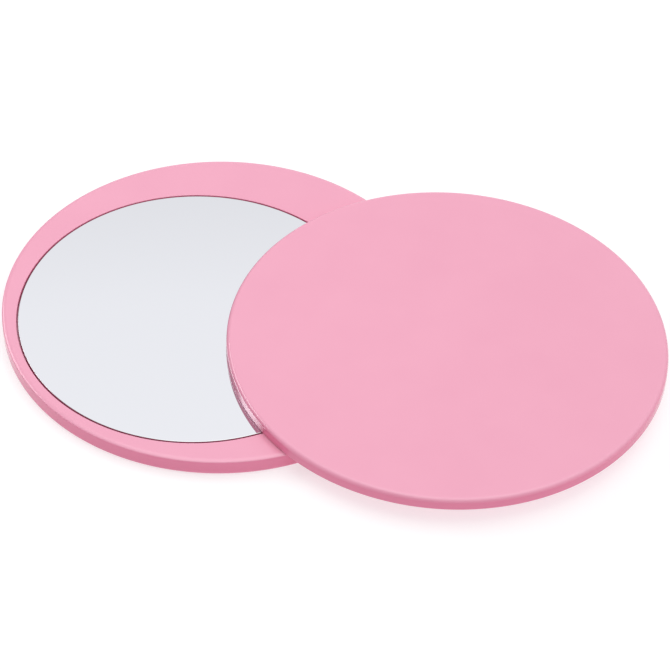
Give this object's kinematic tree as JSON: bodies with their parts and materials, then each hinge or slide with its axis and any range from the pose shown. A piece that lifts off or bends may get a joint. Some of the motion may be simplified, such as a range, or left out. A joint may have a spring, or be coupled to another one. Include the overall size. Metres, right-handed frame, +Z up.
{
  "type": "swivel pocket mirror",
  "caption": "Flat round pocket mirror: a base disc holds an off-centre round mirror, and a plain cover disc swings over it about one upright pivot.",
  "frame": {"origin": "middle of the base disc's flat underside", "axes": "+Z up through the base disc; +X from the base disc's centre to the cover disc's centre as posed, swung open 85 degrees; the pivot is on the +Y side"},
  "size_m": [0.1073, 0.07, 0.0051],
  "materials": {
    "pink_plastic": "smooth semi-gloss moulded ABS, opaque light pink",
    "silvered_glass": "flat silvered glass with a ground edge",
    "white_tape": "white double-sided foam tape",
    "white_nylon": "natural nylon, matt",
    "spring_steel": "rolled spring steel strip, fine grain",
    "zinc_steel": "bright zinc plate"
  },
  "bodies": {
    "base": {"base_shell": "pink_plastic", "mirror_tape": "white_tape", "mirror_glass": "silvered_glass", "pivot_cap": "pink_plastic", "friction_ring": "white_nylon"},
    "cover": {"cover_shell": "pink_plastic", "spring_washer": "spring_steel", "pivot_washer": "zinc_steel", "pivot_screw": "zinc_steel"}
  },
  "joints": [
    {"name": "cover_swivel", "type": "hinge", "parent": "base", "child": "cover", "pos_m": [0.01865, 0.02035, 0.00222], "axis": [0, 0, 1], "range_deg": [-85, 95]}
  ]
}
